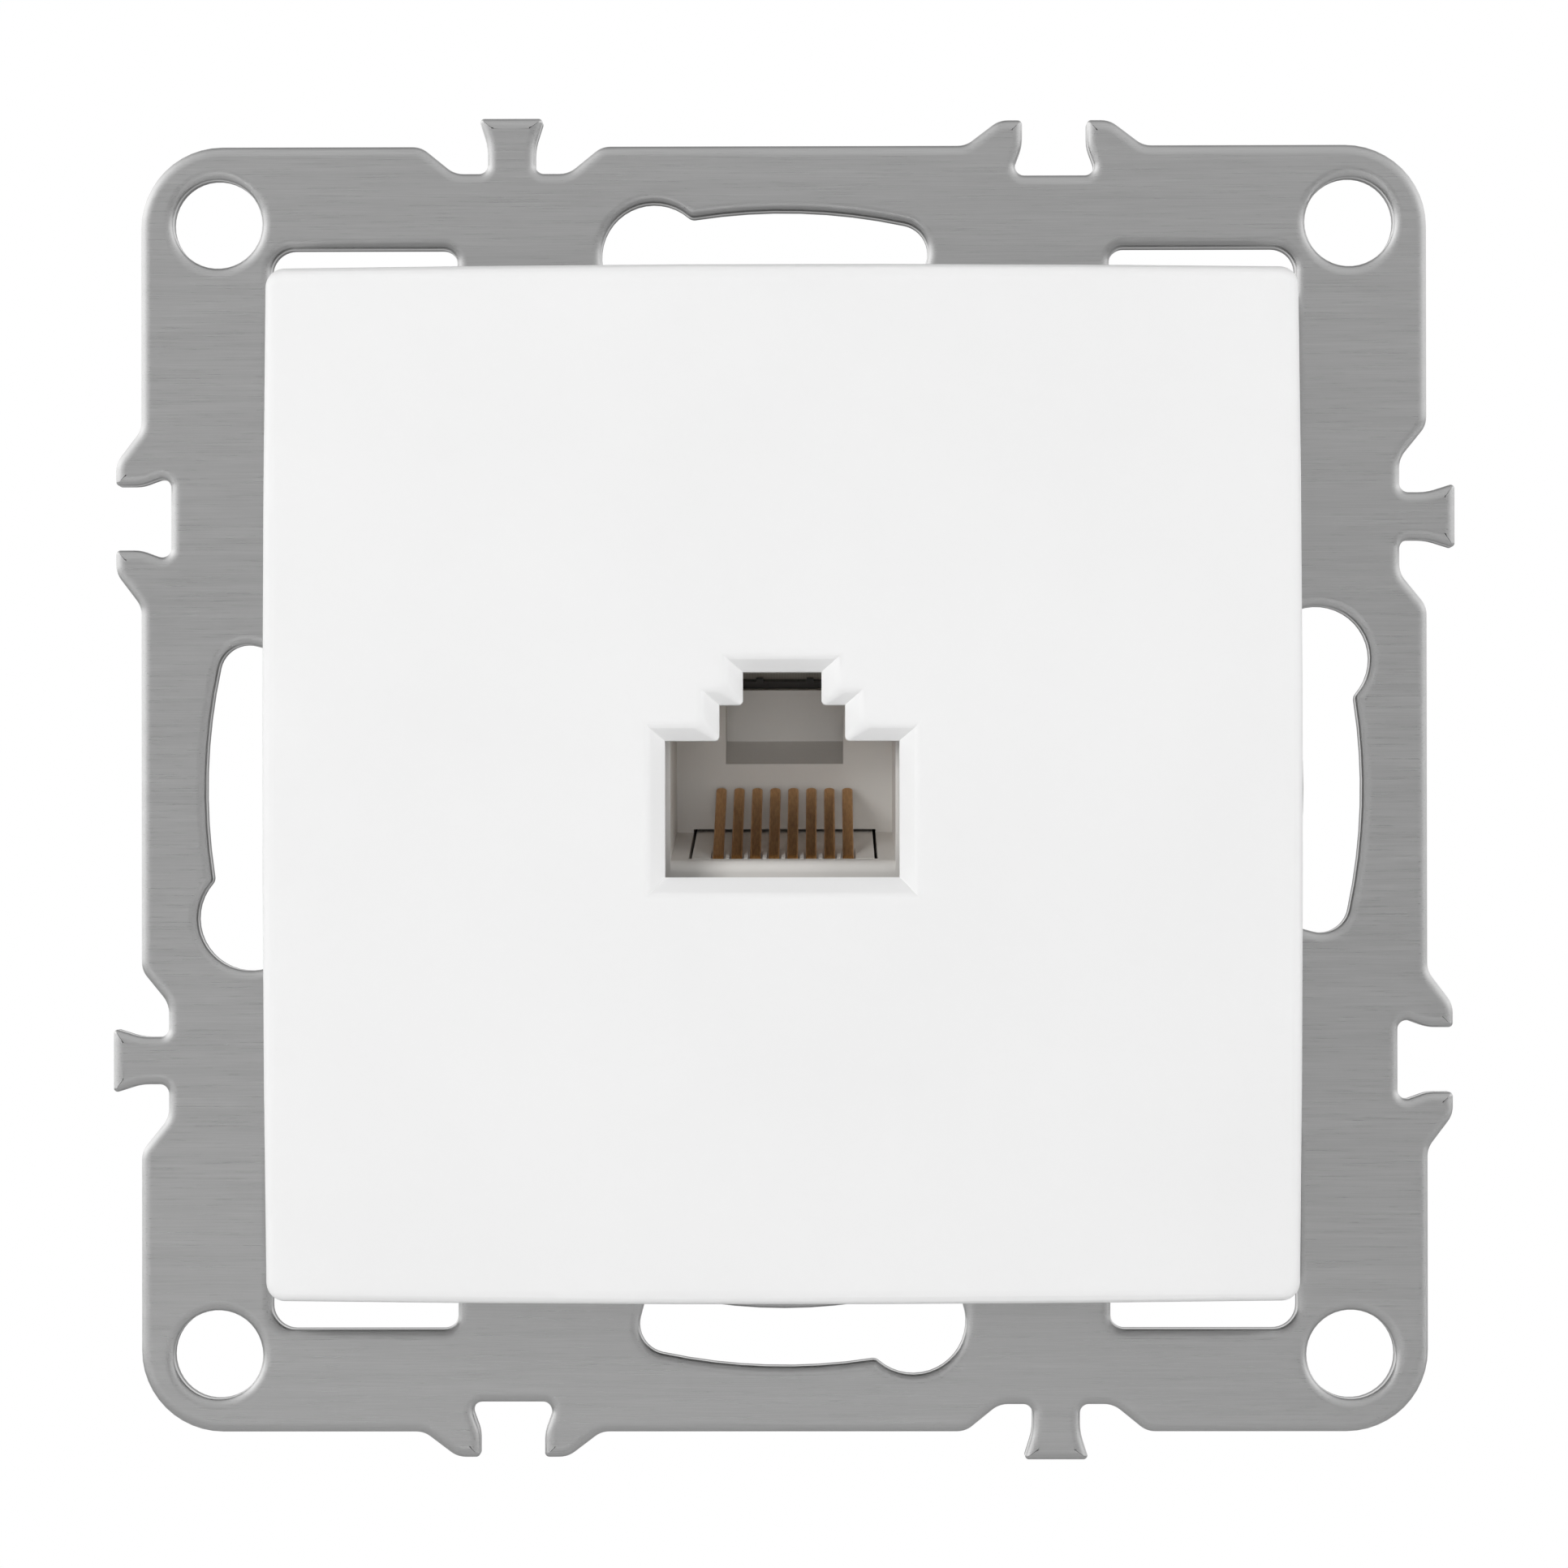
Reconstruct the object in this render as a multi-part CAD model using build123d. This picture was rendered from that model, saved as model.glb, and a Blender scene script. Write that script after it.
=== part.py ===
from build123d import *
from math import cos, radians, sin, tan
import os

# A flush data wall socket, as it is before its surround frame is clipped on. Millimetres.
# X runs to the right, Y into the wall, Z up. The origin is the centre of the mounting plane,
# where the back of the steel support frame lies against the wall.

# Support frame: stamped steel sheet, with the same outline on all four sides
sheet = 1.2
sheet_corner = 4.5
side_margin = 5.2  # from the middle of the screw slots out to the side of the sheet
corner_hole_r = 2.45
corner_hole_inset = 4.25  # from two sides of the sheet to a corner hole
dovetail_offset = 15.0  # from the middle of a side to its tab and to its notch
tab_reach = 1.55
tab_neck = 2.62
tab_head = 3.6
tab_neck_round = 3.0
tab_head_round = 0.22
ear_reach = 1.4  # of the ears beside a notch, past the side
ear_top = 6.1
ear_base = 9.8
ear_foot_round = 1.3
ear_top_round = 1.4
relief_round = 0.5
notch_mouth_round = 0.25
notch_neck_round = 2.0
notch_floor_round = 0.5
mouth_play = 0.47  # sideways, between a tab's neck and the mouth of the neighbour's notch
floor_play = 0.58  # and between its head and the notch's floor
ear_play = 0.1  # between an ear and the neighbour's relief

# Keyhole slots for the wall box screws, on a circle round the centre
slot_radius = 30.3
slot_width = 3.2
slot_end_angle = 15.2
screw_head_angle = -13.6
screw_head_r = 2.9
slot_end_round = 0.8
slot_end_round_outer = 1.6
slot_neck_round = 0.5

# Corner windows, for the surround frame's hooks
window_inner_x = 18.0
window_inner_z = 18.5
window_wide = 10.28
window_high = 11.33
window_round_outer = 1.3
window_round_inner = 0.8

# Cover
cover_side = 55.4  # from the middle of one side to the middle of the other
cover_bow = 0.2  # by which the sides swell in the middle
cover_corner = 1.0
cover_proud = 9.5  # from the sheet's front face to the cover's
cover_gap = 1.0  # between the cover's rim and the sheet
cover_wall = 1.6
cover_face = 2.0
cover_edge = 0.6

# Plug opening in the cover: a wide part and two steps above it, for the plug's latch
opening_play = 0.16  # between the jack's cavity and the opening, on each side
opening_sill = 0.89  # from the opening's lower edge up to the jack's lip
opening_high = 7.29  # heights above the lower edge
opening_step_high = 9.2
opening_top_high = 10.96
opening_step_half = 3.36
opening_top_half = 2.1
opening_round = 0.26  # on the corners that stand into the opening
flare_side = 0.93
flare_top = 0.78
flare_bottom = 1.0
flare_depth = 0.95
flare_corner_round = 0.6  # on the flare's outer corners that stand into the opening

# The cover's four hooks, which snap into slots in the carrier's front plate
hook_z = 10.0
hook_width = 5.0
hook_thick = 1.4
hook_ledge = 1.9  # of the plate outside a slot, behind which a hook catches
hook_play = 0.25  # between an arm and the slot's edges
hook_gap = 0.05  # between a catch and the plate's back
hook_catch = 0.8
hook_land = 0.8
hook_ramp = 1.5
hook_blunt = 0.4

# Jack, in a frame of its own: X across, Y along the plug's way in, Z up from the cavity's floor
jack_tilt = 8.5  # degrees, mouth down
jack_setback = 3.2  # of the cavity's front lip, behind the cover's inner face
jack_floor = -4.08  # height of that lip
cavity_half = 6.1
cavity_high = 6.8
cavity_deep = 12.0
channel_half = 3.75
channel_high = 8.7
key_half = 2.4
key_high = 10.6
recess_half = 3.32  # pocket for the plug's latch in the cavity's back wall
recess_low = 3.9
recess_deep = 3.5
recess_ramp = 0.9
recess_wall_high = 7.74
housing_wall = 1.2
housing_roof = 1.0
housing_floor = 3.4
housing_back = 1.0
shoulder = 0.7
lip_round = 0.6
mouth_round = 0.25
post_x = 5.4
post_z = 10.4
post_r = 0.8

# Contact tray, the insert that shows as a seam in the cavity's floor
tray_half = 4.98
tray_seam = 0.18
tray_front = 1.25
tray_thick = 1.75
tray_to_tail = 1.0  # from the tray's back to the step in the contacts
groove_play = 0.1  # between a contact and the mouldings
groove_long = 3.4
tray_runner = 0.7

# Spring contacts
contact_count = 8
contact_pitch = 1.016
contact_wide = 0.6
contact_thick = 0.3
contact_bend = 0.55
contact_round = 0.28  # on the two corners of a finger's tip
contact_nose = 1.6
contact_run = 0.25  # from the tray's underside to the strip's middle
finger_tip_y = 11.5
finger_tip_z = 2.49
finger_angle = 15.0
tail_stagger = 1.78
tail_jog = 14.4
tail_out = 1.0

# Tail guide, the dark bar with two lugs behind the latch pocket
guide_thick = 1.5
guide_half = 6.4
guide_high = 8.14
guide_low = -5.2
lug_half_gap = 1.45
lug_wide = 0.42
lug_high = 0.17

# Jack carrier, the moulded base that passes through the support frame
carrier_half = 17.2
carrier_cut = 5.0
carrier_wall = 1.5
carrier_play = 0.3
flange_half = 20.5
flange_cut = 8.0
flange_thick = 1.5
sleeve_wall = 1.2
sleeve_play = 0.15
rim_behind_board = 1.6

# Tongues folded back from the sheet, and the barbs that catch in them
tongue_wide = 8.0
tongue_long = 7.0
tongue_play = 0.15  # between a tongue and the carrier's side
tongue_bend = 0.6
tongue_round = 1.0
tongue_relief = 0.8
catch_wide = 4.0
catch_high = 2.6
catch_front = 2.4
barb_reach = 0.85
barb_play = 0.12  # between a barb and its window, all round

# Circuit board and the ledges that carry it
board_thick = 1.6
board_play = 0.3  # between the board's edge and the carrier's wall
solder_play = 0.12  # between a tail and the edge of its hole
hole_sides = 8  # of the small plated holes, which are too small to need a true circle
pin_play = 0.1  # between a round pin and the edge of its hole
ledge_wide = 1.6
ledge_long = 18.0
ledge_deep = 6.0
board_hook_wide = 7.0
board_hook_catch = 0.6
board_hook_slit = 0.8
board_hook_play = 0.1  # between a hook's catch and the board's back

# Termination strips: four insulation-displacement blades in each
strip_inset = 6.4  # from the board's edge to the middle of a strip
strip_half = 2.9
strip_high = 8.6
strip_foot = 1.4
strip_step = 0.4  # by which the foot is wider than the comb
way_pitch = 3.6
way_count = 4
way_slot = 1.0
way_slot_deep = 6.2
way_lead = 0.8
strip_end = 2.7
peg_r = 0.8
blade_thick = 0.5
blade_half = 1.3
blade_below_top = 1.2
blade_corner_long = 0.5
blade_corner_wide = 0.3
blade_lead_long = 0.9
blade_lead_wide = 0.5
blade_slit = 0.3
blade_slit_deep = 4.4
blade_tail_half = 0.35
blade_tail_out = 1.0
blade_play = 0.06
blade_angle = 45.0

past = 1.0  # by which a cutting shape passes the face that it cuts

# Places that follow from the sizes above
half = slot_radius + side_margin
module = 2 * half  # 71 mm, the pitch of sockets set side by side
corner_hole_pitch = module - 2 * corner_hole_inset
sheet_front = -sheet
cover_front = sheet_front - cover_proud
cover_inside = cover_front + cover_face
cover_rim = sheet_front - cover_gap
jack_lip = cover_inside + jack_setback
opening_low = jack_floor - opening_sill
opening_steps = [
    (cavity_half + opening_play, opening_high),
    (opening_step_half, opening_step_high),
    (opening_top_half, opening_top_high),
]
recess_back = cavity_deep + recess_deep
housing_back_y = recess_back + housing_back
housing_half = cavity_half + housing_wall
housing_top = key_high + housing_roof
tray_low = -tray_thick
tray_back = tail_jog - tray_to_tail
run_low = tray_low - contact_run
groove_low = run_low - contact_thick / 2 - groove_play
board_y = housing_back_y + guide_thick
board_back = board_y + board_thick
tilt_sin = sin(radians(jack_tilt))
tilt_cos = cos(radians(jack_tilt))
board_mid = -(jack_floor + board_y * tilt_sin) / tilt_cos
board_half = carrier_half - carrier_wall - board_play
rim_y = board_back + rim_behind_board
arm_out = carrier_half - carrier_wall - hook_ledge - hook_play
arm_in = arm_out - hook_thick
strip_x = board_half - strip_inset
strip_long = (way_count - 1) * way_pitch + 2 * strip_end
way_places = [(way - (way_count - 1) / 2) * way_pitch for way in range(way_count)]
peg_z = strip_long / 2 - peg_r
board_hole_r = contact_wide / 2 + solder_play
jack_place = Pos(0, jack_lip, jack_floor) * Rot(jack_tilt, 0, 0)


def outline(corners):
    """A closed face from corners given as (x, y, radius)."""
    points = [(x, y) for x, y, radius in corners]
    return make_face(FilletPolyline(*points, radius=[c[2] for c in corners], close=True))


def both_sides(centre, left_half):
    """Corners of a feature that is alike on both sides of its centre, given for its left half."""
    left = [(centre - away, y, radius) for away, y, radius in left_half]
    right = [(centre + away, y, radius) for away, y, radius in reversed(left_half)]
    return left + right


def plate(face, back, front):
    """A face in X and Z, made solid from the depth `back` forwards to the depth `front`."""
    return extrude(Plane.XZ.offset(-back) * face, amount=back - front)


def block(x, y, z):
    """A box between pairs of limits."""
    size = (x[1] - x[0], y[1] - y[0], z[1] - z[0])
    return Pos((x[0] + x[1]) / 2, (y[0] + y[1]) / 2, (z[0] + z[1]) / 2) * Box(*size)


def cut_square(half_side, cut):
    """A square with its four corners cut off at 45 degrees."""
    square = Rectangle(2 * half_side, 2 * half_side)
    return chamfer(square.vertices(), cut)


def stepped(low, steps, side, top, bottom, rounding):
    """The stepped outline of the plug opening, grown by a margin at the sides, top and bottom."""
    left_half = []
    height = low - bottom
    for index, (half_width, step) in enumerate(steps):
        inner_round = rounding if index else 0
        left_half.append((half_width + side, height, inner_round))
        height = low + step + top
        left_half.append((half_width + side, height, 0))
    return outline(both_sides(0, left_half))


def frame_outline():
    """The sheet's outer edge: the corners of the top side, turned on to the other three."""
    relief = ear_reach + ear_play
    tab = both_sides(-dovetail_offset, [
        (ear_base / 2 + ear_play, half, ear_foot_round),
        (ear_top / 2 + ear_play, half - relief, ear_top_round),
        (tab_neck / 2, half - relief, relief_round),
        (tab_neck / 2, half, tab_neck_round),
        (tab_head / 2, half + tab_reach, tab_head_round),
    ])
    notch = both_sides(dovetail_offset, [
        (ear_base / 2, half, ear_foot_round),
        (ear_top / 2, half + ear_reach, ear_top_round),
        (tab_neck / 2 + mouth_play, half + ear_reach, notch_mouth_round),
        (tab_neck / 2 + mouth_play, half, notch_neck_round),
        (tab_head / 2 + floor_play, half - tab_reach - ear_play, notch_floor_round),
    ])
    side = [(-half, half, sheet_corner)] + tab + notch
    corners = []
    for turn in range(4):
        corners += side
        side = [(y, -x, radius) for x, y, radius in side]
    return outline(corners)


def keyhole():
    """One slot of the top side: an arc for the screw's shank, ending in a hole for its head."""
    band = Circle(slot_radius + slot_width / 2) - Circle(slot_radius - slot_width / 2)
    reach = 2 * slot_radius
    ends = [Vector(0, reach).rotate(Axis.Z, -angle) for angle in (screw_head_angle, slot_end_angle)]
    band &= make_face(Polyline((0, 0), ends[0], ends[1], close=True))
    by_x = band.vertices().sort_by(Axis.X)[-2:].sort_by(Axis.Y)
    band = fillet(by_x[0], slot_end_round)
    outer = band.vertices().group_by(Axis.X)[-1].sort_by(Axis.Y)[-1]
    band = fillet(outer, slot_end_round_outer)
    head = Vector(0, slot_radius).rotate(Axis.Z, -screw_head_angle)
    slot = band + Pos(head) * Circle(screw_head_r)
    neck = slot.vertices().filter_by(lambda corner: head.X < corner.X < head.X + screw_head_r)
    return fillet(neck.sort_by_distance(head)[:2], slot_neck_round)


def support_frame():
    """The stamped sheet, with two tongues folded back from the edges of its middle opening."""
    face = frame_outline()
    face -= GridLocations(corner_hole_pitch, corner_hole_pitch, 2, 2) * Circle(corner_hole_r)
    face -= [Rot(0, 0, 90 * turn) * keyhole() for turn in range(4)]
    inner_x, inner_z = window_inner_x, window_inner_z
    outer_x, outer_z = inner_x + window_wide, inner_z + window_high
    window = outline([
        (inner_x, inner_z, window_round_inner),
        (outer_x, inner_z, window_round_inner),
        (outer_x, outer_z, window_round_outer),
        (inner_x, outer_z, window_round_inner),
    ])
    right = window + mirror(window, Plane.XZ)
    face -= right + mirror(right, Plane.YZ)
    steel = plate(face, 0, sheet_front)
    steel -= plate(cut_square(carrier_half + carrier_play, carrier_cut), past, sheet_front - past)
    tongue_x = carrier_half + tongue_play
    root_x = tongue_x + sheet + tongue_bend
    profile = outline([
        (root_x, sheet_front, 0),
        (tongue_x, sheet_front, tongue_bend + sheet),
        (tongue_x, tongue_long, 0),
        (tongue_x + sheet, tongue_long, 0),
        (tongue_x + sheet, 0, tongue_bend),
        (root_x, 0, 0),
    ])
    tongue = extrude(profile, amount=tongue_wide / 2, both=True)
    tongue = fillet(tongue.edges().filter_by(Axis.X).group_by(Axis.Y)[-1], tongue_round)
    tongue -= block((0, half), (catch_front, catch_front + catch_high), (-catch_wide / 2, catch_wide / 2))
    gap = tongue_wide / 2 + tongue_relief
    for turn in (0, 180):
        relief = block((carrier_half - past, root_x), (sheet_front - past, past), (-gap, gap))
        steel -= Rot(0, turn, 0) * relief
        steel += Rot(0, turn, 0) * tongue
    return steel


def hook():
    """The upper right hook: an arm from the cover's face, caught behind the carrier's plate."""
    root = cover_inside - cover_face / 2
    catch = sheet_front + hook_gap
    tip = catch + hook_ramp + hook_blunt
    profile = make_face(Polyline(
        (arm_in, root),
        (arm_out, root),
        (arm_out, catch),
        (arm_out + hook_catch, catch),
        (arm_out + hook_catch, catch + hook_land),
        (arm_out - hook_thick / 2, tip),
        (arm_in, tip),
        close=True,
    ))
    return Pos(0, 0, hook_z) * extrude(profile, amount=hook_width / 2, both=True)


def cover():
    """The hollow cover with its plug opening and hooks."""
    corner = cover_side / 2 - cover_bow
    sides = [ThreePointArc(
        (-corner, corner), (0, cover_side / 2), (corner, corner)
    ).rotate(Axis.Z, 90 * turn) for turn in range(4)]
    shape = make_face(Wire(sides))
    shape = fillet(shape.vertices(), cover_corner)
    shell = plate(shape, cover_rim, cover_front)
    shell = fillet(shell.faces().sort_by(Axis.Y)[0].edges(), cover_edge)
    shell -= plate(offset(shape, -cover_wall), cover_rim + past, cover_inside)
    mouth = stepped(opening_low, opening_steps, 0, 0, 0, opening_round)
    flared = stepped(opening_low, opening_steps, flare_side, flare_top, flare_bottom, flare_corner_round)
    flare_back = cover_front + flare_depth
    shell -= loft(
        [Plane.XZ.offset(-cover_front) * flared, Plane.XZ.offset(-flare_back) * mouth], ruled=True
    )
    shell -= plate(mouth, cover_inside + past, flare_back)
    right = hook() + mirror(hook(), Plane.XY)
    return shell + right + mirror(right, Plane.YZ)


def jack_housing():
    """The moulding round the plug's cavity, with a pocket for the latch and a way in for the tray."""
    body = block((-housing_half, housing_half), (0, housing_back_y), (-housing_floor, housing_top))
    body = fillet(body.faces().sort_by(Axis.Y)[0].edges(), mouth_round)
    wide, low, high = housing_half + shoulder, -housing_floor - shoulder, housing_top + shoulder
    body += block((-wide, wide), (cavity_deep, housing_back_y), (low, high))
    steps = [(cavity_half, cavity_high), (channel_half, channel_high), (key_half, key_high)]
    body -= plate(stepped(0, steps, 0, 0, 0, 0), cavity_deep, -past)
    mouth = body.faces().sort_by(Axis.Y)[0].inner_wires()[0].edges()
    lip = mouth.sort_by(Axis.Z)[0]
    body = fillet(lip, lip_round)
    pocket = make_face(Plane.YZ * Polyline(
        (0, cavity_high),
        (cavity_deep, recess_low),
        (recess_back, recess_low + recess_ramp),
        (recess_back, recess_wall_high),
        (housing_back_y + past, recess_wall_high),
        (housing_back_y + past, key_high),
        (cavity_deep, key_high),
        close=True,
    ))
    pocket = extrude(pocket, amount=recess_half, both=True)
    body -= pocket & block((-recess_half, recess_half), (cavity_deep, 2 * cavity_deep), (0, 2 * key_high))
    slot_half = tray_half + tray_seam
    behind = housing_back_y + past
    body -= block((-slot_half, slot_half), (tray_front - tray_seam, cavity_deep), (groove_low, past))
    body -= block((-slot_half, slot_half), (tray_front, behind), (groove_low, tray_seam))
    body -= block((-slot_half, slot_half), (tray_back, behind), (low - past, groove_low))
    posts = [Pos(side * post_x, 0, post_z) * post(post_r) for side in (-1, 1)]
    return body + posts


def post(radius):
    """A round peg from the housing's back through the board."""
    length = board_back - housing_back_y
    return Pos(0, housing_back_y, 0) * Rot(-90, 0, 0) * Cylinder(
        radius, length, align=(Align.CENTER, Align.CENTER, Align.MIN)
    )


def contact_x(index):
    """How far a contact stands to the right of the middle."""
    return (index - (contact_count - 1) / 2) * contact_pitch


def tail_low(index):
    """Height of a contact's tail: every second one steps down to the board's lower row of holes."""
    return run_low - tail_stagger * (index % 2)


def contact_tray():
    """The insert that closes the cavity's floor, with a runner on each side and eight grooves."""
    tray = block((-tray_half, tray_half), (tray_front, tray_back), (tray_low, 0))
    for side in (-1, 1):
        runner = sorted((side * tray_half, side * (tray_half - tray_runner)))
        tray += block(runner, (tray_front, tray_back), (groove_low, tray_low))
    behind_strip = contact_nose + contact_thick / 2 + 2 * groove_play
    groove = make_face(Plane.YZ * Polyline(
        (tray_front - past, tray_low - past),
        (behind_strip, tray_low - past),
        (behind_strip, -2 * contact_thick),
        (tray_front + groove_long, 0),
        (tray_front + groove_long, past),
        (tray_front - past, past),
        close=True,
    ))
    groove = extrude(groove, amount=contact_wide / 2 + groove_play, both=True)
    return tray - [Pos(contact_x(index), 0, 0) * groove for index in range(contact_count)]


def contact(index):
    """A strip bent round the tray's nose: tail in the board, run under the tray, sprung finger."""
    nose_z = finger_tip_z - (finger_tip_y - contact_nose) * tan(radians(finger_angle))
    points = [(contact_nose, run_low), (contact_nose, nose_z), (finger_tip_y, finger_tip_z)]
    if index % 2:
        points = [(tail_jog, tail_low(index)), (tail_jog, run_low)] + points
    points = [(board_back + tail_out, tail_low(index))] + points
    side_view = trace(FilletPolyline(*points, radius=contact_bend), contact_thick)
    strip = extrude(Plane.YZ * side_view, amount=contact_wide / 2, both=True)
    tip = strip.faces().sort_by(Axis.Z)[-1]
    strip = fillet(tip.edges().sort_by(SortBy.LENGTH)[:2], contact_round)
    return Pos(contact_x(index), 0, 0) * strip


def tail_guide():
    """The bar behind the housing that spaces the contacts' tails."""
    guide = block((-guide_half, guide_half), (housing_back_y, board_y), (guide_low, guide_high))
    for side in (-1, 1):
        lug_x = side * lug_half_gap
        guide += block(
            (lug_x - lug_wide / 2, lug_x + lug_wide / 2),
            (housing_back_y, housing_back_y + guide_thick / 2),
            (guide_high - past, guide_high + lug_high),
        )
    wide, high = contact_wide / 2 + groove_play, contact_thick / 2 + groove_play
    for index in range(contact_count):
        x, z = contact_x(index), tail_low(index)
        guide -= block((x - wide, x + wide), (recess_back, board_back), (z - high, z + high))
    return guide


def carrier_section(inset):
    """The carrier's outline, drawn in by a wall or a wall and a clearance."""
    return offset(cut_square(carrier_half, carrier_cut), -inset)


def carrier_barb():
    """The wedge on the carrier's right side, which springs into the window of the sheet's tongue."""
    front = catch_front + barb_play
    back = catch_front + catch_high - barb_play
    root_x = carrier_half - carrier_wall / 2
    profile = make_face(Polyline(
        (root_x, front), (carrier_half + barb_reach, front), (carrier_half, back), (root_x, back), close=True
    ))
    return extrude(profile, amount=catch_wide / 2 - barb_play, both=True)


def board_hook(side):
    """A hook that snaps behind the board, on the carrier's top wall (side 1) or bottom wall (-1)."""
    edge = board_mid + side * board_half
    profile = make_face(Plane.YZ * Polyline(
        (board_back + board_hook_play, edge - side * board_hook_catch),
        (rim_y, edge + side * board_play),
        (rim_y, edge + side * (board_play + carrier_wall)),
        (board_back + board_hook_play, edge + side * (board_play + carrier_wall)),
        close=True,
    ))
    return extrude(profile, amount=board_hook_wide / 2, both=True)


def jack_carrier():
    """The moulding that passes through the sheet, with a tilted sleeve for the jack."""
    flange_front = sheet_front - flange_thick
    carrier = plate(cut_square(flange_half, flange_cut), sheet_front, flange_front)
    carrier += plate(cut_square(carrier_half, carrier_cut), module, sheet_front)
    carrier -= plate(carrier_section(carrier_wall), module + past, sheet_front)
    carrier -= jack_place * block((-module, module), (rim_y, 2 * module), (-module, module))
    hole_x, hole_low = housing_half + sleeve_play, -housing_floor - sleeve_play
    hole_top = housing_top + sleeve_play
    sleeve = jack_place * block(
        (-hole_x - sleeve_wall, hole_x + sleeve_wall),
        (0, cavity_deep),
        (hole_low - sleeve_wall, hole_top + sleeve_wall),
    )
    sleeve -= plate(Rectangle(module, module), flange_front, 2 * cover_front)
    carrier += sleeve
    carrier -= jack_place * block((-hole_x, hole_x), (-cavity_deep, cavity_deep), (hole_low, hole_top))
    reach = hook_width / 2 + hook_play
    hook_slot = block(
        (arm_in - hook_catch - hook_play, arm_out + hook_play),
        (flange_front - past, sheet_front + past),
        (hook_z - reach, hook_z + reach),
    )
    hook_slot += mirror(hook_slot, Plane.XY)
    carrier -= hook_slot + mirror(hook_slot, Plane.YZ)
    inner = carrier_half - carrier_wall
    for side in (-1, 1):
        ledge = sorted((side * (inner - ledge_wide), side * (inner + carrier_wall / 2)))
        mid = (board_mid - ledge_long / 2, board_mid + ledge_long / 2)
        carrier += jack_place * block(ledge, (board_y - ledge_deep, board_y), mid)
        carrier += jack_place * board_hook(side)
        wall = sorted((board_mid + side * (inner - past), board_mid + side * (carrier_half + past)))
        for slit_side in (-1, 1):
            slit_x = slit_side * (board_hook_wide + board_hook_slit) / 2
            slit = (slit_x - board_hook_slit / 2, slit_x + board_hook_slit / 2)
            carrier -= jack_place * block(slit, (board_y - ledge_deep, rim_y + past), wall)
    return carrier + carrier_barb() + mirror(carrier_barb(), Plane.YZ)


def circuit_board():
    """The board, with holes for the jack's posts, the strips' pegs and all the tails."""
    face = Pos(0, board_mid) * carrier_section(carrier_half - board_half)
    for index in range(contact_count):
        face -= Pos(contact_x(index), tail_low(index)) * RegularPolygon(board_hole_r, hole_sides)
    for side in (-1, 1):
        face -= Pos(side * post_x, post_z) * Circle(post_r + pin_play)
        for end in (-1, 1):
            face -= Pos(side * strip_x, board_mid + end * peg_z) * Circle(peg_r + pin_play)
        for z in way_places:
            face -= Pos(side * strip_x, board_mid + z) * RegularPolygon(
                blade_tail_half + solder_play, hole_sides
            )
    return plate(face, board_back, board_y)


def strip_place(side):
    """Where a termination strip stands on the back of the board."""
    return Pos(side * strip_x, board_back, board_mid)


def termination_strip(side):
    """A comb of four wire slots, each crossed by a slanting pocket that holds a blade."""
    foot = strip_half + strip_step
    strip = block((-foot, foot), (0, strip_foot), (-strip_long / 2, strip_long / 2))
    tower_end = strip_long / 2 - strip_step
    strip += block((-strip_half, strip_half), (0, strip_high), (-tower_end, tower_end))
    slot = make_face(Plane.YZ * Polyline(
        (strip_high + past, way_slot / 2 + way_lead + past),
        (strip_high - way_lead, way_slot / 2),
        (strip_high - way_slot_deep, way_slot / 2),
        (strip_high - way_slot_deep, -way_slot / 2),
        (strip_high - way_lead, -way_slot / 2),
        (strip_high + past, -way_slot / 2 - way_lead - past),
        close=True,
    ))
    slot = extrude(slot, amount=2 * strip_half, both=True)
    thick, wide = blade_thick / 2 + blade_play, blade_half + blade_play
    narrow = blade_tail_half + blade_play
    pocket = block((-thick, thick), (strip_foot, strip_high + past), (-wide, wide))
    pocket += block((-thick, thick), (-past, strip_foot), (-narrow, narrow))
    for z in way_places:
        strip -= Pos(0, 0, z) * slot
        strip -= Pos(0, 0, z) * Rot(0, side * blade_angle, 0) * pocket
    for end in (-1, 1):
        peg = Cylinder(peg_r, board_thick, align=(Align.CENTER, Align.CENTER, Align.MIN))
        strip += Pos(0, 0, end * peg_z) * Rot(90, 0, 0) * peg
    return strip_place(side) * strip


def idc_blade(side, z):
    """A forked blade: the fork's edges bite through the wire's sheath, the tail is soldered."""
    top = strip_high - blade_below_top
    fork = [
        (-board_thick - blade_tail_out, blade_tail_half),
        (strip_foot, blade_tail_half),
        (strip_foot, blade_half),
        (top - blade_corner_long, blade_half),
        (top, blade_half - blade_corner_wide),
        (top, blade_slit / 2 + blade_lead_wide),
        (top - blade_lead_long, blade_slit / 2),
        (top - blade_slit_deep, blade_slit / 2),
    ]
    other_half = [(y, -width) for y, width in reversed(fork)]
    blade = make_face(Plane.YZ * Polyline(*fork, *other_half, close=True))
    blade = extrude(blade, amount=blade_thick / 2, both=True)
    return strip_place(side) * Pos(0, 0, z) * Rot(0, side * blade_angle, 0) * blade


parts = {
    "support_frame": support_frame(),
    "cover": cover(),
    "jack_carrier": jack_carrier(),
    "jack_housing": jack_place * jack_housing(),
    "contact_tray": jack_place * contact_tray(),
    "tail_guide": jack_place * tail_guide(),
    "circuit_board": jack_place * circuit_board(),
    "idc_strip_left": jack_place * termination_strip(-1),
    "idc_strip_right": jack_place * termination_strip(1),
}
for index in range(contact_count):
    parts[f"contact_{index + 1}"] = jack_place * contact(index)
for index, (side, z) in enumerate((side, z) for side in (-1, 1) for z in way_places):
    parts[f"idc_blade_{index + 1}"] = jack_place * idc_blade(side, z)

os.makedirs("parts", exist_ok=True)
for name, shape in parts.items():
    export_step(shape, f"parts/{name}.step")
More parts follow.
